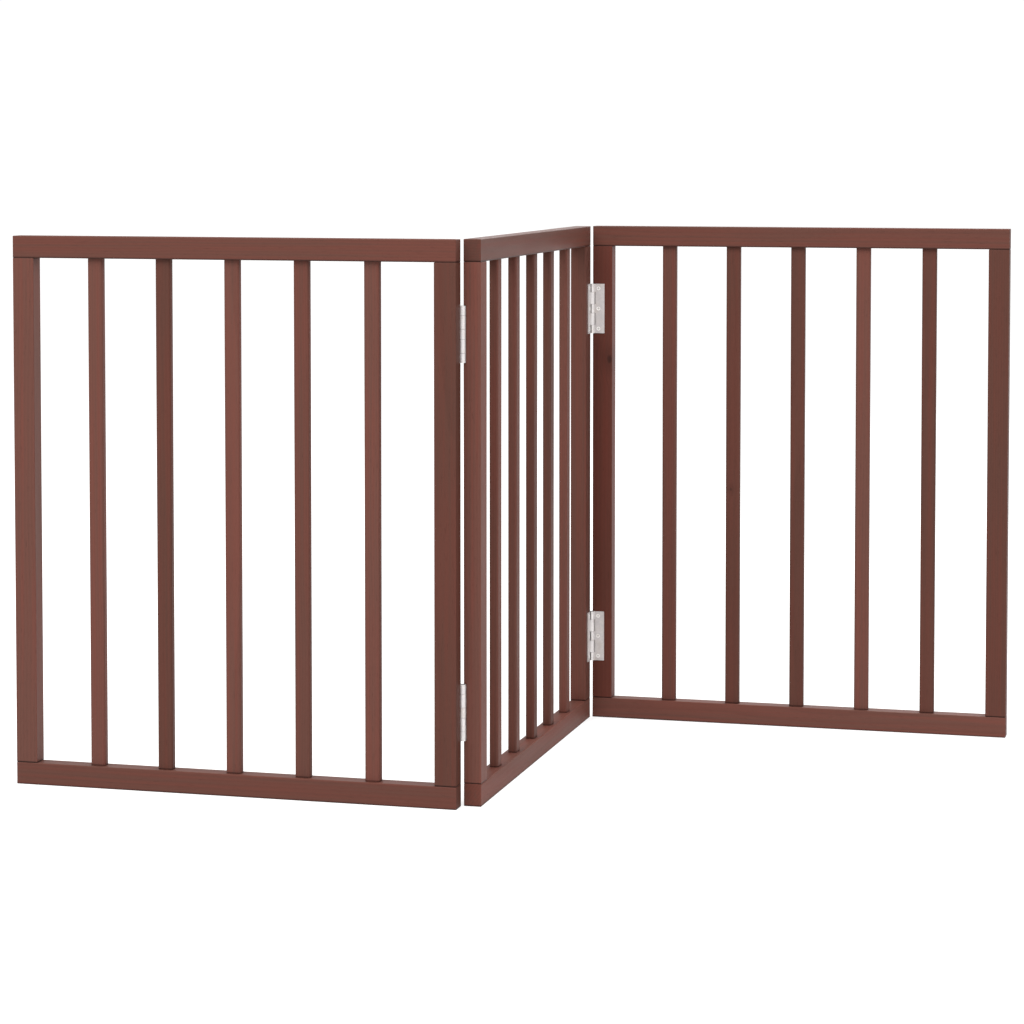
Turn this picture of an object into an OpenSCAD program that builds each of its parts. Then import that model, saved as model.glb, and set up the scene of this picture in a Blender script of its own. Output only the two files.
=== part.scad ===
// Free-standing folding gate: three barred wooden panels joined by two pairs of butt hinges.
// Origin: centre of the footprint, at floor level. +X runs along the two end panels,
// +Y runs along the middle panel, +Z is up. The gate is drawn in its zigzag standing pose,
// with both corners square.

/* [Panels] */
// Width of each panel
panel_w = 500; // [400:10:700]
// Height of each panel
panel_h = 600; // [450:10:900]
// Thickness of the rails and posts
panel_t = 19; // [18:0.5:24]
// Height of the top and bottom rails
rail_h = 24; // [20:1:36]
// Width of the posts at the panel's ends
post_w = 24; // [22:1:36]
// Radius of the eased edges of rails and posts
edge_r = 0.9; // [0.3:0.1:1.5]

/* [Balusters] */
// Number of balusters between the posts of one panel
baluster_count = 5; // [3:1:7]
// Width of a baluster, seen from the front
baluster_w = 17; // [14:1:22]
// Thickness of a baluster
baluster_t = 10; // [9:0.5:14]
// Radius of the rounded long edges of a baluster
baluster_r = 2.5; // [0.5:0.1:3.5]

/* [Dowels] */
// Diameter of the dowels between posts and rails
post_dowel_d = 8; // [6:1:10]
// Diameter of the dowels between balusters and rails
baluster_dowel_d = 6; // [5:1:6]
// How far a dowel reaches into each piece
dowel_depth = 14; // [10:1:16]

/* [Hinges] */
// Height of a hinge
hinge_h = 60; // [55:5:80]
// Height of the lower hinge's middle, and distance of the upper one's below the top
hinge_z = 100; // [80:5:150]
// Thickness of the leaves
leaf_t = 0.95; // [0.8:0.05:1]
// Reach of a leaf from the pin's axis
leaf_reach = 15.75; // [14:0.25:18]
// Distance of the pin's axis from the face that a leaf lies on
axis_off_face = 1.1; // [1.1:0.1:1.5]
// Distance of the pin's axis beyond the end of the panel
axis_past_end = 1.16; // [1:0.01:2]
// Radius of the hinge pin
pin_r = 3; // [2:0.1:3.2]

/* [Screws] */
// Length of a hinge screw
screw_l = 12; // [10:1:14]
// Radius of a screw's shank
screw_r = 1.45; // [1.2:0.05:1.6]
// Distance of the screws from the pin's axis
screw_reach = 8.4; // [8:0.1:9]
// Distance of the upper and lower screws from the hinge's middle
screw_pitch = 24.5; // [20:0.5:24.5]

/* [Hidden] */
$fn = 48;
RUNNING = 0.05;      // radial clearance of a pin or screw in its hole
GLUE = 0.05;         // glue line around a dowel
CUT = 1;             // how far a cutter runs past the face that it opens

// Panels
post_h = panel_h - 2 * rail_h;
bar_gap = (panel_w - 2 * post_w - baluster_count * baluster_w) / (baluster_count + 1);
bar_pitch = bar_gap + baluster_w;
post_x = (panel_w - post_w) / 2;
baluster_xs = [for (i = [0 : baluster_count - 1]) (i - (baluster_count - 1) / 2) * bar_pitch];
dowel_chamfer = 1;

// Hinges
knuckle_r = pin_r + RUNNING + leaf_t;
knuckle_shares = [10, 14.5, 11, 14.5, 10];   // knuckle lengths in proportion, from the bottom
knuckle_gap = 0.3;   // between one leaf's knuckle and the next leaf's
slit_w = 1.5;        // slit where a rolled knuckle closes
leaf_clear = 0.5;    // between a knuckle and the other leaf
notch_r = knuckle_r + 0.35;
notch_h = hinge_h + 1;
head_r = screw_r + leaf_t;
recess_w = 0.7;
recess_l = 2.8;
recess_depth = 0.5;
tip_l = 3;
screw_zs = [-screw_pitch, 0, screw_pitch];
hinge_zs = [hinge_z, panel_h - hinge_z];

// Where the pins' axes stand, for the joint at the middle panel's far end
axis_x = panel_t / 2 + axis_off_face;
axis_y = panel_w / 2 + axis_past_end;

SIDES = ["left", "right"];
PANELS = ["left", "middle", "right"];
LEVELS = ["lower", "upper"];
PANEL_PIECES = ["top_rail", "bottom_rail", "top_dowels", "bottom_dowels"];
HINGE_PIECES = ["end_leaf", "middle_leaf", "pin", "end_screws", "middle_screws"];
END_KNUCKLES = [0, 2, 4];
MIDDLE_KNUCKLES = [1, 3];

// A panel's two posts, from its own -x end to its +x end
function post_names(panel) =
    panel == "middle" ? ["left_hinge_post", "right_hinge_post"] : ["hinge_post", "outer_post"];

STAIN = "#774c43";
STAIN_DARK = "#5b3a33";
STAIN_RED = "#7d4d45";
PALE_WOOD = "#d8bd93";
STEEL = "#cfcac6";

// ---- placing ----

// Carries a panel's own frame (x along its width, y through its thickness) to its place
module at_panel(panel) {
    end_x = axis_x + axis_past_end + panel_w / 2;
    end_y = axis_y + axis_off_face + panel_t / 2;
    if (panel == "middle") {
        rotate([0, 0, 90]) children();
    } else {
        rotate([0, 0, panel == "left" ? 180 : 0]) translate([end_x, end_y, 0]) children();
    }
}

// Carries a hinge's own frame (pin along z, end leaf towards +x on a face at +y) to its place
module at_hinge(side, level) {
    z = hinge_zs[level == "lower" ? 0 : 1];
    rotate([0, 0, side == "left" ? 180 : 0]) translate([axis_x, axis_y, z]) children();
}

// The middle panel's leaf is the end panel's leaf mirrored across the corner
module mirrored_leaf() {
    mirror([1, 1, 0]) children();
}

// ---- wood ----

// A rectangle with round corners, centred
module rounded_rect(w, h, r) {
    square([w - 2 * r, h], center = true);
    square([w, h - 2 * r], center = true);
    for (x = [-1, 1]) {
        for (y = [-1, 1]) {
            translate([x * (w / 2 - r), y * (h / 2 - r)]) circle(r = r);
        }
    }
}

// A bar of size [x, y, z], centred, with every edge eased
module eased_bar(size, r) {
    intersection() {
        linear_extrude(height = size[2], center = true) rounded_rect(size[0], size[1], r);
        rotate([90, 0, 0]) linear_extrude(height = size[1], center = true) rounded_rect(size[0], size[2], r);
        rotate([90, 0, 90]) linear_extrude(height = size[0], center = true) rounded_rect(size[1], size[2], r);
    }
}

// Holes for one end of the panel's dowels, around the plane where bars meet a rail
module dowel_holes(d, xs) {
    hole_l = 2 * (dowel_depth + CUT);
    for (x = xs) {
        translate([x, 0, -hole_l / 2]) cylinder(h = hole_l, d = d + 2 * GLUE);
    }
}

// A straight dowel with chamfered ends, centred
module dowel(d) {
    body_l = 2 * (dowel_depth - dowel_chamfer);
    translate([0, 0, -body_l / 2]) cylinder(h = body_l, d = d);
    translate([0, 0, body_l / 2]) cylinder(h = dowel_chamfer, d1 = d, d2 = d - 2 * dowel_chamfer);
    translate([0, 0, -body_l / 2 - dowel_chamfer]) cylinder(h = dowel_chamfer, d1 = d - 2 * dowel_chamfer, d2 = d);
}

// Height of the plane where the bars meet the top or the bottom rail
function seam_z(top) = top ? panel_h - rail_h : rail_h;

module rail(panel, top) {
    z = top ? panel_h - rail_h / 2 : rail_h / 2;
    color(STAIN) at_panel(panel) difference() {
        translate([0, 0, z]) eased_bar([panel_w, panel_t, rail_h], edge_r);
        translate([0, 0, seam_z(top)]) {
            dowel_holes(post_dowel_d, [-post_x, post_x]);
            dowel_holes(baluster_dowel_d, baluster_xs);
        }
    }
}

// Room in a post's corner for a hinge's barrel, and pilot holes for its screws
module hinge_cutters() {
    translate([0, 0, -notch_h / 2]) cylinder(h = notch_h, r = notch_r);
    for (z = screw_zs) {
        translate([screw_reach, axis_off_face - CUT, z]) rotate([-90, 0, 0])
            cylinder(h = screw_l - leaf_t + 2 * CUT, r = screw_r + RUNNING);
    }
}

// The hinges' cutters in a panel's own frame: the end panels' hinges lie beyond -x, on the -y face
module end_panel_cutters() {
    for (z = hinge_zs) {
        translate([-panel_w / 2 - axis_past_end, -panel_t / 2 - axis_off_face, z]) hinge_cutters();
    }
}

// The middle panel carries hinges at both ends, on opposite faces
module middle_panel_cutters() {
    for (turn = [0, 180]) {
        rotate([0, 0, turn]) for (z = hinge_zs) {
            translate([panel_w / 2 + axis_past_end, -panel_t / 2 - axis_off_face, z])
                mirror([1, 0, 0]) hinge_cutters();
        }
    }
}

// place is -1 for the post at the panel's own -x end and 1 for the other
module post(panel, place) {
    color(STAIN_DARK) at_panel(panel) difference() {
        translate([place * post_x, 0, panel_h / 2]) eased_bar([post_w, panel_t, post_h], edge_r);
        for (top = [false, true]) {
            translate([0, 0, seam_z(top)]) dowel_holes(post_dowel_d, [place * post_x]);
        }
        if (panel == "middle") {
            middle_panel_cutters();
        } else {
            end_panel_cutters();
        }
    }
}

module baluster(panel, i) {
    color(STAIN_RED) at_panel(panel) difference() {
        translate([baluster_xs[i - 1], 0, rail_h])
            linear_extrude(height = post_h) rounded_rect(baluster_w, baluster_t, baluster_r);
        for (top = [false, true]) {
            translate([0, 0, seam_z(top)]) dowel_holes(baluster_dowel_d, [baluster_xs[i - 1]]);
        }
    }
}

module dowels(panel, top) {
    color(PALE_WOOD) at_panel(panel) translate([0, 0, seam_z(top)]) {
        for (x = [-post_x, post_x]) {
            translate([x, 0, 0]) dowel(post_dowel_d);
        }
        for (x = baluster_xs) {
            translate([x, 0, 0]) dowel(baluster_dowel_d);
        }
    }
}

// ---- hinges ----

// Sum of the first k knuckle shares
function sum_shares(k) = k == 0 ? 0 : knuckle_shares[k - 1] + sum_shares(k - 1);

// Height of the lower end of knuckle k, from the hinge's middle
function knuckle_z(k) = hinge_h * (sum_shares(k) / sum_shares(len(knuckle_shares)) - 1 / 2);

// A round about the pin's axis over knuckle k, longer than the knuckle by spare at each end
module knuckle_round(k, r, spare) {
    bottom = knuckle_z(k) - spare;
    top = knuckle_z(k + 1) + spare;
    translate([0, 0, bottom]) cylinder(h = top - bottom, r = r);
}

module screw_hole() {
    over = CUT / 2;
    translate([0, axis_off_face - leaf_t - over, 0]) rotate([-90, 0, 0])
        cylinder(h = leaf_t + 2 * over, r1 = head_r + RUNNING + over, r2 = screw_r + RUNNING - over);
}

// One leaf with its own knuckles, rolled out of the same sheet
module leaf(own, other) {
    difference() {
        union() {
            translate([0, axis_off_face - leaf_t, -hinge_h / 2]) cube([leaf_reach, leaf_t, hinge_h]);
            for (k = own) {
                knuckle_round(k, knuckle_r, 0);
            }
        }
        for (k = other) {
            knuckle_round(k, knuckle_r + leaf_clear, knuckle_gap / 2);
        }
        translate([0, 0, -hinge_h / 2 - CUT]) cylinder(h = hinge_h + 2 * CUT, r = pin_r + RUNNING);
        translate([-slit_w / 2, -knuckle_r - CUT, -hinge_h / 2 - CUT])
            cube([slit_w, knuckle_r + CUT, hinge_h + 2 * CUT]);
        for (z = screw_zs) {
            translate([screw_reach, 0, z]) screw_hole();
        }
    }
}

module end_leaf(side, level) {
    color(STEEL) at_hinge(side, level) leaf(END_KNUCKLES, MIDDLE_KNUCKLES);
}

module middle_leaf(side, level) {
    color(STEEL) at_hinge(side, level) mirrored_leaf() leaf(MIDDLE_KNUCKLES, END_KNUCKLES);
}

module pin(side, level) {
    color(STEEL) at_hinge(side, level) translate([0, 0, -hinge_h / 2]) cylinder(h = hinge_h, r = pin_r);
}

// A countersunk screw along +y, its head level with the leaf's outer face
module screw() {
    shank_l = screw_l - leaf_t - tip_l;
    translate([0, axis_off_face - leaf_t, 0]) rotate([-90, 0, 0]) difference() {
        union() {
            cylinder(h = leaf_t, r1 = head_r, r2 = screw_r);
            translate([0, 0, leaf_t]) cylinder(h = shank_l, r = screw_r);
            translate([0, 0, leaf_t + shank_l]) cylinder(h = tip_l, r1 = screw_r, r2 = screw_r / 5);
        }
        cube([recess_l, recess_w, 2 * recess_depth], center = true);
        cube([recess_w, recess_l, 2 * recess_depth], center = true);
    }
}

module screws() {
    for (z = screw_zs) {
        translate([screw_reach, 0, z]) screw();
    }
}

module end_screws(side, level) {
    color(STEEL) at_hinge(side, level) screws();
}

module middle_screws(side, level) {
    color(STEEL) at_hinge(side, level) mirrored_leaf() screws();
}

// ---- the gate ----

for (p = PANELS) {
    rail(p, true);
    rail(p, false);
    post(p, -1);
    post(p, 1);
    dowels(p, true);
    dowels(p, false);
    for (i = [1 : baluster_count]) {
        baluster(p, i);
    }
}
for (s = SIDES) {
    for (l = LEVELS) {
        end_leaf(s, l);
        middle_leaf(s, l);
        pin(s, l);
        end_screws(s, l);
        middle_screws(s, l);
    }
}
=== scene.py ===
"""Looks of a folding pet gate: brown-stained bars, zinc-plated butt hinges, pale studio.

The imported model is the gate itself. This script gives every piece its own wood or steel,
adds the studio round it and sets the camera. Lengths are in metres, angles in degrees.
"""

import math
import random

import bpy
from mathutils import Euler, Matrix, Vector


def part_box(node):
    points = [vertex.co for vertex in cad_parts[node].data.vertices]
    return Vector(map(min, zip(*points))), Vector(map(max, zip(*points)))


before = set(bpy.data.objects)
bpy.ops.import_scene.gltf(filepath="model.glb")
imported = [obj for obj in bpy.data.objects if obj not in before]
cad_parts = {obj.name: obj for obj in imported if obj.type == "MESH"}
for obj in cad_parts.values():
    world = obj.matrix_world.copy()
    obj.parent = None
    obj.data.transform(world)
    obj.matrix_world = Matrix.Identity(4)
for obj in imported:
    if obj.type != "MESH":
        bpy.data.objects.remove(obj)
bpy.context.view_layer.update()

# ---- camera ----

CAMERA_PLACE = Vector((0.818, -3.174, 0.699))
CAMERA_TURN = 14.84  # round the vertical, towards -X
CAMERA_TILT = 2.81  # below level
FOCAL = 2.834  # focal length over sensor width
SENSOR = 36.0  # millimetres
CAMERA_SHIFT = -0.22
CLIP_NEAR, CLIP_FAR = 0.05, 60.0

scene = bpy.context.scene


def add_camera():
    data = bpy.data.cameras.new("camera")
    data.sensor_width = SENSOR
    data.lens = FOCAL * SENSOR
    data.shift_y = CAMERA_SHIFT
    data.clip_start, data.clip_end = CLIP_NEAR, CLIP_FAR
    camera = bpy.data.objects.new("camera", data)
    camera.location = CAMERA_PLACE
    camera.rotation_euler = Euler((math.radians(90 - CAMERA_TILT), 0, math.radians(CAMERA_TURN)))
    scene.collection.objects.link(camera)
    scene.camera = camera


# ---- node helpers ----


class Graph:
    """A material's node tree, written as nested calls."""

    def __init__(self, name):
        self.material = bpy.data.materials.new(name)
        self.material.use_nodes = True
        self.tree = self.material.node_tree
        self.tree.nodes.clear()

    def node(self, kind, inputs=None, **settings):
        made = self.tree.nodes.new(kind)
        for key, value in settings.items():
            setattr(made, key, value)
        for key, value in (inputs or {}).items():
            self.put(made.inputs[key], value)
        return made

    def put(self, socket, value):
        if isinstance(value, bpy.types.NodeSocket):
            self.tree.links.new(value, socket)
        else:
            socket.default_value = value

    def math(self, operation, a, b=0.0, c=0.0):
        return self.node("ShaderNodeMath", {0: a, 1: b, 2: c}, operation=operation).outputs[0]

    def vector(self, operation, a, b=(0, 0, 0)):
        made = self.node("ShaderNodeVectorMath", {0: a, 1: b}, operation=operation)
        return made.outputs["Value" if operation in ("LENGTH", "DOT_PRODUCT") else "Vector"]

    def ramp(self, value, low, high, to_low=0.0, to_high=1.0):
        """value from low..high to to_low..to_high, smoothed and held at both ends"""
        made = self.node(
            "ShaderNodeMapRange",
            {"Value": value, "From Min": low, "From Max": high, "To Min": to_low, "To Max": to_high},
            interpolation_type="SMOOTHSTEP",
        )
        return made.outputs["Result"]

    def noise(self, place, scale, detail=3.0, roughness=0.5):
        inputs = {"Vector": place, "Scale": scale, "Detail": detail, "Roughness": roughness}
        return self.node("ShaderNodeTexNoise", inputs).outputs["Fac"]

    def grain(self, place, stretch, scale, detail, roughness=0.5):
        """noise drawn out along the last axis: its scale there is stretch times that across"""
        return self.noise(self.vector("MULTIPLY", place, (1, 1, stretch)), scale, detail, roughness)

    def split(self, vector):
        return self.node("ShaderNodeSeparateXYZ", {0: vector}).outputs

    def bump(self, height):
        """height in metres"""
        inputs = {"Height": height, "Strength": 1.0, "Distance": 1.0}
        return self.node("ShaderNodeBump", inputs).outputs[0]

    def mix(self, factor, a, b, blend="MIX"):
        made = self.node("ShaderNodeMix", data_type="RGBA", blend_type=blend, clamp_factor=True)
        self.put(made.inputs["Factor"], factor)
        self.put(made.inputs["A"], a)
        self.put(made.inputs["B"], b)
        return made.outputs[2]

    def finish(self, inputs):
        shader = self.node("ShaderNodeBsdfPrincipled", inputs)
        self.node("ShaderNodeOutputMaterial", {"Surface": shader.outputs[0]})


def rgb(r, g, b):
    """sRGB levels 0..255 as a linear colour, by the sRGB standard's formula"""
    levels = (r, g, b)
    return tuple(((v / 255 + 0.055) / 1.055) ** 2.4 if v > 10 else v / 3294.6 for v in levels) + (1.0,)


# ---- studio ----

FLOOR_SIZE = 40.0
FLOOR_COLOUR = (0.38, 0.38, 0.38, 1)
FLOOR_ROUGHNESS, FLOOR_GLOSS = 0.9, 0.2
FLOOR_GLOW = 0.68  # keeps the floor as white as the backdrop, whatever falls on it
WORLD_LIGHT = 1.03
WHITE = (1, 1, 1, 1)

AIM = Vector((0, 0, 0.3))  # the middle of the gate, which every softbox faces
# name, place, width, height, power in watts
SOFTBOXES = [
    ("key", (-0.9, -2.6, 3.6), 3.2, 2.6, 190),
    ("side", (3.2, -1.4, 2.4), 2.0, 1.6, 50),
    ("back", (0.9, 2.9, 3.0), 2.4, 1.8, 120),
]


def add_floor():
    mesh = bpy.data.meshes.new("floor")
    half = FLOOR_SIZE / 2
    corners = [(-half, -half, 0), (half, -half, 0), (half, half, 0), (-half, half, 0)]
    mesh.from_pydata(corners, [], [(0, 1, 2, 3)])
    floor = bpy.data.objects.new("floor", mesh)
    scene.collection.objects.link(floor)
    g = Graph("floor")
    g.finish({
        "Base Color": FLOOR_COLOUR,
        "Roughness": FLOOR_ROUGHNESS,
        "Specular IOR Level": FLOOR_GLOSS,
        "Emission Color": WHITE,
        "Emission Strength": FLOOR_GLOW,
    })
    mesh.materials.append(g.material)


def add_world():
    world = bpy.data.worlds.new("studio")
    world.use_nodes = True
    background = world.node_tree.nodes["Background"]
    background.inputs["Color"].default_value = WHITE
    background.inputs["Strength"].default_value = WORLD_LIGHT
    scene.world = world
    scene.view_settings.view_transform = "Standard"


def add_softbox(name, place, width, height, power):
    data = bpy.data.lights.new(name, "AREA")
    data.shape = "RECTANGLE"
    data.size, data.size_y = width, height
    data.energy = power
    lamp = bpy.data.objects.new(name, data)
    lamp.location = place
    lamp.rotation_euler = (AIM - Vector(place)).to_track_quat("-Z", "Y").to_euler()
    scene.collection.objects.link(lamp)


# ---- stained wood ----

# The brown stain where wood took the most of it and where it took the least, sRGB levels
DEEP_STAIN, THIN_STAIN = (72, 42, 34), (94, 58, 50)
RED_STAIN = (80, 42, 34)  # on one bar of redder wood
# Each shade's place between the deep stain and the thin one
SHADES = {"dark": 0.1, "brown": 0.4, "light": 0.65, "pale": 0.9}

# Each bar's shade
STAIN = {
    "left_top_rail": "brown",
    "left_bottom_rail": "brown",
    "left_outer_post": "light",
    "left_hinge_post": "dark",
    "left_baluster_1": "light",
    "left_baluster_2": "brown",
    "left_baluster_3": "light",
    "left_baluster_4": "dark",
    "left_baluster_5": "light",
    "middle_top_rail": "brown",
    "middle_bottom_rail": "pale",
    "middle_left_hinge_post": "pale",
    "middle_right_hinge_post": "brown",
    "middle_baluster_1": "light",
    "middle_baluster_2": "brown",
    "middle_baluster_3": "dark",
    "middle_baluster_4": "dark",
    "middle_baluster_5": "light",
    "right_top_rail": "brown",
    "right_bottom_rail": "light",
    "right_hinge_post": "red",
    "right_outer_post": "dark",
    "right_baluster_1": "brown",
    "right_baluster_2": "dark",
    "right_baluster_3": "dark",
    "right_baluster_4": "light",
    "right_baluster_5": "dark",
}

# Small knots: (metres from the bar's middle along x, height above the floor, radius, how dark)
KNOTS = {
    "right_hinge_post": [(0.0088, 0.4385, 0.0046, 0.75)],
    "right_baluster_2": [(-0.002, 0.284, 0.0019, 0.6)],
}

LOG_SPREAD = 3.0  # how far apart in the tree two bars may come from
RING_WIDTH = 0.0029
PITH_NEAR, PITH_FAR = 0.025, 0.08
RING_WANDER = 0.009
LATE_WOOD = (0.3, 0.9)  # where in a ring's width it starts and is full
RING_END = (0.93, 1.0, 1, 0)  # where it stops, at the next ring
LATE_SHARE = 1 / 3  # about how much of a bar is late wood

KNOT_STRETCH = 0.62  # a knot is longer along the bar than across it
# In knot radii: how ragged its rim is, its heart's rim, how far its halo and its push on the rings go
KNOT_RAGGED = 0.6
KNOT_HEART = (0.7, 1.25)
KNOT_HALO_REACH = 3.5
KNOT_PUSH, KNOT_PUSH_REACH = 1.4, 5
KNOT_HALO = 0.3  # how dark the halo is against the heart
KNOT_COLOUR = (38, 20, 15)
RED_TINT = (1.07, 0.95, 0.93)
BROWN_TINT = (0.96, 1.03, 1.03)

# Noise drawn out along the grain: stretch, scale, detail and, for the fibres, roughness
WANDER_NOISE = (0.2, 16, 2)
MOTTLE_NOISE = (0.25, 22, 2)
STREAK_NOISE = (0.012, 260, 3)
FIBRE_NOISE = (0.03, 1500, 4, 0.65)
PORE_NOISE = (0.045, 2100, 1)
PATCH_NOISE = (0.1, 60, 3)
# Scale of the even noises
WEAR_SCALE, KNOT_SCALE, PEEL_SCALE = 90, 900, 260
PEEL_DETAIL = 2
NOISE_MEAN = 0.5

# Where in its noise, or in how squarely a face ends the bar, each feature starts and is full
PORE_RANGE = (0.64, 0.74)
END_RANGE = (0.75, 0.95)
WEAR_RANGE = (0.35, 0.65)
PATCH_RANGE = (0.3, 0.7)
RED_RANGE = (0.38, 0.62)
RED_BY_STREAK, RED_BY_MOTTLE = 0.6, 0.4

# How much each feature lightens or darkens the stain
MOTTLE, STREAK, RING, FIBRE, PORE = 0.10, 0.10, 0.07, 0.10, 0.22
END_GRAIN = 0.14
EDGE_WEAR = 0.10
EDGE_WIDTH = 0.0013
# Painted shade along a bar's lower edge and, on an upright, at its top under the rail: darkest up to, gone
# by, how dark, how dark beyond
UPPER_PAINTED_SHADE = (0.0003, 0.0009, 0.3, 0)
LOWER_PAINTED_SHADE = (0.0008, 0.0021, 0.53, 0)
POST_FOOT_PAINTED_SHADE = (0.0008, 0.0021, 0.72, 0)

# Relief in metres
FIBRE_RELIEF, PORE_RELIEF, RING_RELIEF = 0.000010, 0.000030, 0.000006
PEEL_RELIEF = 0.000012

# The varnish: roughness where it is smoothest and where it is roughest, and its gloss
SATIN_ROUGHNESS = (0.47, 0.54)
SATIN_GLOSS = 0.11
END_ROUGHER, PORE_ROUGHER = 0.12, 0.1
# Bars that took it differently
ROUGHNESS = {"middle_top_rail": (0.31, 0.39)}
GLOSS = {
    "middle_top_rail": 0.10,
    "middle_bottom_rail": 0.05,
    "middle_left_hinge_post": 0.09,
    "middle_baluster_1": 0.08,
    "middle_baluster_3": 0.09,
    "middle_baluster_4": 0.14,
}


def grain_axis(name):
    """0, 1 or 2: a dowel's grain stands upright, a bar's follows its longest side"""
    low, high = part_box(name)
    sides = [b - a for a, b in zip(low, high)]
    return 2 if "dowels" in name else sides.index(max(sides))


def turn_to_grain(values, axis):
    """three values in ring order, with the grain's axis last"""
    return [values[(axis + 1 + i) % 3] for i in range(3)]


def edge_distance(g, place, name):
    """distance from the nearest long edge of the box round the bar"""
    low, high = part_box(name)
    from_low = g.vector("SUBTRACT", place, tuple(low))
    from_high = g.vector("SUBTRACT", tuple(high), place)
    x, y, z = g.split(g.vector("MINIMUM", from_low, from_high))
    smaller = g.math("MINIMUM", x, y)
    larger = g.math("MAXIMUM", x, y)
    return g.math("MAXIMUM", smaller, g.math("MINIMUM", larger, z))


def stain_colour(shade, tint):
    """a shade's linear colour, tinted"""
    deep, thin = rgb(*DEEP_STAIN), rgb(*THIN_STAIN)
    if shade == "red":
        colour = rgb(*RED_STAIN)
    else:
        colour = [a + SHADES[shade] * (b - a) for a, b in zip(deep, thin)]
    return tuple(c * t for c, t in zip(colour, tint)) + (1.0,)


def add_knots(g, name, place, timber):
    """how dark the bar's knots make it, and how far they push its rings aside"""
    low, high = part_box(name)
    dark_here = 0.0
    push = 0.0
    for across, height, radius, dark in KNOTS.get(name, []):
        from_knot = g.vector("SUBTRACT", place, ((low[0] + high[0]) / 2 + across, 0, height))
        away = g.vector("LENGTH", g.vector("MULTIPLY", from_knot, (1, 0, KNOT_STRETCH)))
        ragged = g.math("MULTIPLY_ADD", g.noise(timber, KNOT_SCALE), radius * KNOT_RAGGED, away)
        heart = g.ramp(ragged, radius * KNOT_HEART[0], radius * KNOT_HEART[1], dark, 0)
        halo = g.ramp(away, radius, radius * KNOT_HALO_REACH, dark * KNOT_HALO, 0)
        dark_here = g.math("MAXIMUM", dark_here, g.math("MAXIMUM", heart, halo))
        pushed = g.ramp(away, 0, radius * KNOT_PUSH_REACH, radius * KNOT_PUSH, 0)
        push = g.math("ADD", push, pushed)
    return dark_here, push


def late_wood(g, name, draw, turned, timber, push):
    """1 in the dark part of each growth ring, round a pith beside the bar"""
    axis = grain_axis(name)
    low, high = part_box(name)
    angle = draw.uniform(0, math.tau)
    far = draw.uniform(PITH_NEAR, PITH_FAR)
    middle = turn_to_grain([(a + b) / 2 for a, b in zip(low, high)], axis)
    pith = (middle[0] + far * math.cos(angle), middle[1] + far * math.sin(angle), 0)
    from_pith = g.vector("MULTIPLY", g.vector("SUBTRACT", turned, pith), (1, 1, 0))
    wander = g.grain(timber, *WANDER_NOISE)
    radius = g.math("MULTIPLY_ADD", wander, RING_WANDER, g.vector("LENGTH", from_pith))
    ring = g.math("FRACT", g.math("DIVIDE", g.math("ADD", radius, push), RING_WIDTH))
    return g.math("MULTIPLY", g.ramp(ring, *LATE_WOOD), g.ramp(ring, *RING_END))


def painted_edge_shade(g, name, place):
    """how much painted shade darkens the bar's lower edge and, on an upright, its top under its upper rail
    """
    low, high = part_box(name)
    height = g.split(place)[2]
    lower_shade = POST_FOOT_PAINTED_SHADE if name.endswith("post") else LOWER_PAINTED_SHADE
    shaded = g.ramp(g.math("SUBTRACT", height, low[2]), *lower_shade)
    if grain_axis(name) == 2:
        upper = g.ramp(g.math("SUBTRACT", high[2], height), *UPPER_PAINTED_SHADE)
        shaded = g.math("MAXIMUM", shaded, upper)
    return shaded


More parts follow.
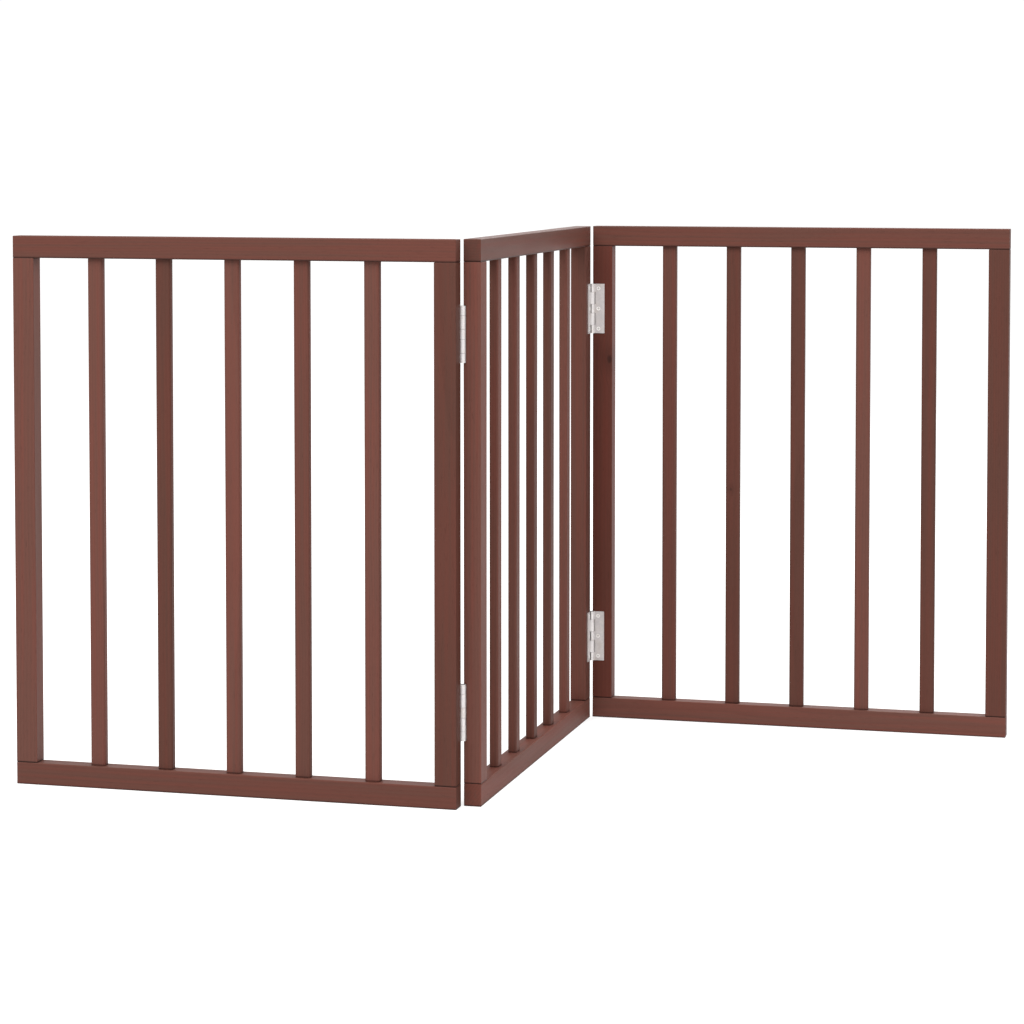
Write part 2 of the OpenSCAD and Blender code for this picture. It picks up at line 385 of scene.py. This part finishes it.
def stained_wood(name):
    draw = random.Random(name)
    g = Graph(name)
    axis = grain_axis(name)
    coordinates = g.node("ShaderNodeTexCoord").outputs
    place = coordinates["Object"]
    in_ring_order = dict(enumerate(turn_to_grain(g.split(place), axis)))
    turned = g.node("ShaderNodeCombineXYZ", in_ring_order).outputs[0]
    shift = tuple(draw.uniform(-LOG_SPREAD, LOG_SPREAD) for _ in range(3))
    timber = g.vector("ADD", turned, shift)

    knot, push = add_knots(g, name, place, timber)
    late = late_wood(g, name, draw, turned, timber, push)
    mottle = g.grain(timber, *MOTTLE_NOISE)
    streak = g.grain(timber, *STREAK_NOISE)
    fibre = g.grain(timber, *FIBRE_NOISE)
    pore = g.ramp(g.grain(timber, *PORE_NOISE), *PORE_RANGE)
    facing = g.split(coordinates["Normal"])[axis]
    end = g.ramp(g.math("ABSOLUTE", facing), *END_RANGE)
    edge = g.ramp(edge_distance(g, place, name), 0, EDGE_WIDTH, 1, 0)
    worn = g.math("MULTIPLY", edge, g.ramp(g.noise(timber, WEAR_SCALE), *WEAR_RANGE))

    light = 1 + RING * LATE_SHARE
    for amount, value, centre in (
        (MOTTLE, mottle, NOISE_MEAN),
        (STREAK, streak, NOISE_MEAN),
        (FIBRE, fibre, NOISE_MEAN),
        (-RING, late, 0),
        (-PORE, pore, 0),
        (-END_GRAIN, end, 0),
        (EDGE_WEAR, worn, 0),
        # painted shade along the lower edges and under the rails
        (-1, painted_edge_shade(g, name, place), 0),
    ):
        light = g.math("MULTIPLY_ADD", g.math("SUBTRACT", value, centre), amount, light)

    by_mottle = g.math("MULTIPLY", mottle, RED_BY_MOTTLE)
    redness = g.ramp(g.math("MULTIPLY_ADD", streak, RED_BY_STREAK, by_mottle), *RED_RANGE)
    browner, redder = (stain_colour(STAIN[name], tint) for tint in (BROWN_TINT, RED_TINT))
    colour = g.mix(1.0, g.mix(redness, browner, redder), light, "MULTIPLY")
    if name in KNOTS:
        colour = g.mix(knot, colour, rgb(*KNOT_COLOUR))

    # a satin varnish, rougher on end grain and over pores, with the wood's relief showing through
    smoothest, roughest = ROUGHNESS.get(name, SATIN_ROUGHNESS)
    roughness = g.ramp(g.grain(timber, *PATCH_NOISE), *PATCH_RANGE, smoothest, roughest)
    roughness = g.math("MULTIPLY_ADD", end, END_ROUGHER, roughness)
    roughness = g.math("MULTIPLY_ADD", pore, PORE_ROUGHER, roughness)
    relief = g.math("MULTIPLY", g.noise(timber, PEEL_SCALE, PEEL_DETAIL), PEEL_RELIEF)
    relief = g.math("MULTIPLY_ADD", fibre, FIBRE_RELIEF, relief)
    relief = g.math("MULTIPLY_ADD", late, RING_RELIEF, relief)
    relief = g.math("MULTIPLY_ADD", pore, -PORE_RELIEF, relief)
    g.finish({
        "Base Color": colour,
        "Roughness": roughness,
        "Specular IOR Level": GLOSS.get(name, SATIN_GLOSS),
        "Normal": g.bump(relief),
    })
    return g.material


# ---- bare dowel wood ----

BEECH_LIGHT, BEECH_DARK = (216, 180, 138), (178, 138, 98)
BEECH_FIBRE_NOISE = (0.05, 1200, 4, 0.65)
BEECH_FLECK_NOISE = (0.25, 1500, 1)
BEECH_FIBRE_RANGE, BEECH_FLECK_RANGE = (0.3, 0.7), (0.6, 0.7)
BEECH_FLECK = 0.3
BEECH_ROUGHNESS = (0.62, 0.78)
BEECH_GLOSS = 0.3
BEECH_RELIEF = 0.00003


def dowel_wood(name):
    g = Graph(name)
    place = g.node("ShaderNodeTexCoord").outputs["Object"]
    fibre = g.grain(place, *BEECH_FIBRE_NOISE)
    fleck = g.ramp(g.grain(place, *BEECH_FLECK_NOISE), *BEECH_FLECK_RANGE)
    grain = g.math("MULTIPLY_ADD", fleck, BEECH_FLECK, g.ramp(fibre, *BEECH_FIBRE_RANGE))
    g.finish({
        "Base Color": g.mix(grain, rgb(*BEECH_LIGHT), rgb(*BEECH_DARK)),
        "Roughness": g.ramp(fibre, *BEECH_FIBRE_RANGE, *BEECH_ROUGHNESS),
        "Specular IOR Level": BEECH_GLOSS,
        "Normal": g.bump(g.math("MULTIPLY", fibre, BEECH_RELIEF)),
    })
    return g.material


# ---- zinc-plated steel ----

ZINC_BRIGHT, ZINC_DULL = (216, 211, 209), (194, 191, 191)
ZINC_TARNISH = (192, 182, 173)
# Near-white zinc for the screws: a painted highlight on their heads
SCREW_HIGHLIGHT_BRIGHT, SCREW_HIGHLIGHT_DULL = (252, 250, 247), (242, 240, 238)
PIN_SHADED_BRIGHT, PIN_SHADED_DULL = (84, 81, 78), (62, 60, 58)  # painted shade: the pin is dark so that the barrels' slits, the only place it is seen, look shadowed
# Painted shade in the screw slots: its colour, and where it starts and is full
RECESS_SHADE_COLOUR = (96, 92, 88)
RECESS_START, RECESS_FULL = 0.00012, 0.0009  # depth below the screw heads' faces
SPANGLE = 420  # crystals a metre
ZINC_METAL = 0.65
ZINC_ROUGHNESS = (0.36, 0.52)
ROLLED_NOISE = (0.03, 2400, 3)
CLOUD_SCALE = 90
TONE_BY_SPANGLE, TONE_BY_ROLLING = 0.45, 0.55
TARNISH = (0.5, 0.75, 0, 0.5)  # where in the cloud noise it starts and is full, from and to
DULLING = (0.35, 0.65)
RECESS_SHADE_ROUGHER = 0.25
# Relief in metres
ROLLED_RELIEF, CLOUD_RELIEF, SPANGLE_RELIEF = 0.000004, 0.00002, 0.0000015


def zinc_steel(name, bright=(ZINC_BRIGHT, ZINC_DULL), recess=None):
    """recess: (axis, place) of the plane across the screw heads, below which painted shade darkens the
    slots
    """
    draw = random.Random(name)
    g = Graph(name)
    place = g.node("ShaderNodeTexCoord").outputs["Object"]
    own = g.vector("ADD", place, tuple(draw.uniform(-1, 1) for _ in range(3)))
    crystals = g.node("ShaderNodeTexVoronoi", {"Vector": own, "Scale": SPANGLE}).outputs["Color"]
    spangle = g.split(crystals)[0]
    rolled = g.grain(own, *ROLLED_NOISE)
    cloud = g.noise(own, CLOUD_SCALE)
    tone = g.math("MULTIPLY_ADD", spangle, TONE_BY_SPANGLE, g.math("MULTIPLY", rolled, TONE_BY_ROLLING))
    colour = g.mix(tone, *(rgb(*shade) for shade in bright))
    colour = g.mix(g.ramp(cloud, *TARNISH), colour, rgb(*ZINC_TARNISH))
    dull = g.math("MULTIPLY", g.math("ADD", cloud, rolled), 0.5)  # their mean
    roughness = g.ramp(dull, *DULLING, *ZINC_ROUGHNESS)
    if recess:
        axis, face = recess
        depth = g.math("ABSOLUTE", g.math("SUBTRACT", g.split(place)[axis], face))
        # painted shade: darker and rougher the deeper into the slots
        recess_shade = g.ramp(depth, RECESS_START, RECESS_FULL)
        colour = g.mix(recess_shade, colour, rgb(*RECESS_SHADE_COLOUR))
        roughness = g.math("MULTIPLY_ADD", recess_shade, RECESS_SHADE_ROUGHER, roughness)
    relief = g.math("MULTIPLY", rolled, ROLLED_RELIEF)
    relief = g.math("MULTIPLY_ADD", cloud, CLOUD_RELIEF, relief)
    relief = g.math("MULTIPLY_ADD", spangle, SPANGLE_RELIEF, relief)
    g.finish({
        "Base Color": colour,
        "Roughness": roughness,
        "Metallic": ZINC_METAL,
        "Normal": g.bump(relief),
    })
    return g.material


def head_face(screws, leaf):
    """(axis, place) of the plane across the screw heads: the leaf's barrel stands out beyond it"""
    low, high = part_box(screws)
    leaf_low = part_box(leaf)[0]
    axis = 0 if high[0] - low[0] > high[1] - low[1] else 1
    return axis, low[axis] if leaf_low[axis] < low[axis] else high[axis]


# ---- the model ----


def material_for(name):
    if name in STAIN:
        return stained_wood(name)
    if name.endswith("dowels"):
        return dowel_wood(name)
    # near-white screws: painted highlight on their heads, painted shade in their slots
    if name.endswith("screws"):
        return zinc_steel(name, (SCREW_HIGHLIGHT_BRIGHT, SCREW_HIGHLIGHT_DULL), head_face(name, name.replace("screws", "leaf")))
    # the pin's dark colour is painted shade in the barrels' slits
    if name.endswith("pin"):
        return zinc_steel(name, (PIN_SHADED_BRIGHT, PIN_SHADED_DULL))
    return zinc_steel(name)


add_camera()
add_floor()
add_world()
for softbox in SOFTBOXES:
    add_softbox(*softbox)

for name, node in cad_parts.items():
    node.data.materials.clear()
    node.data.materials.append(material_for(name))
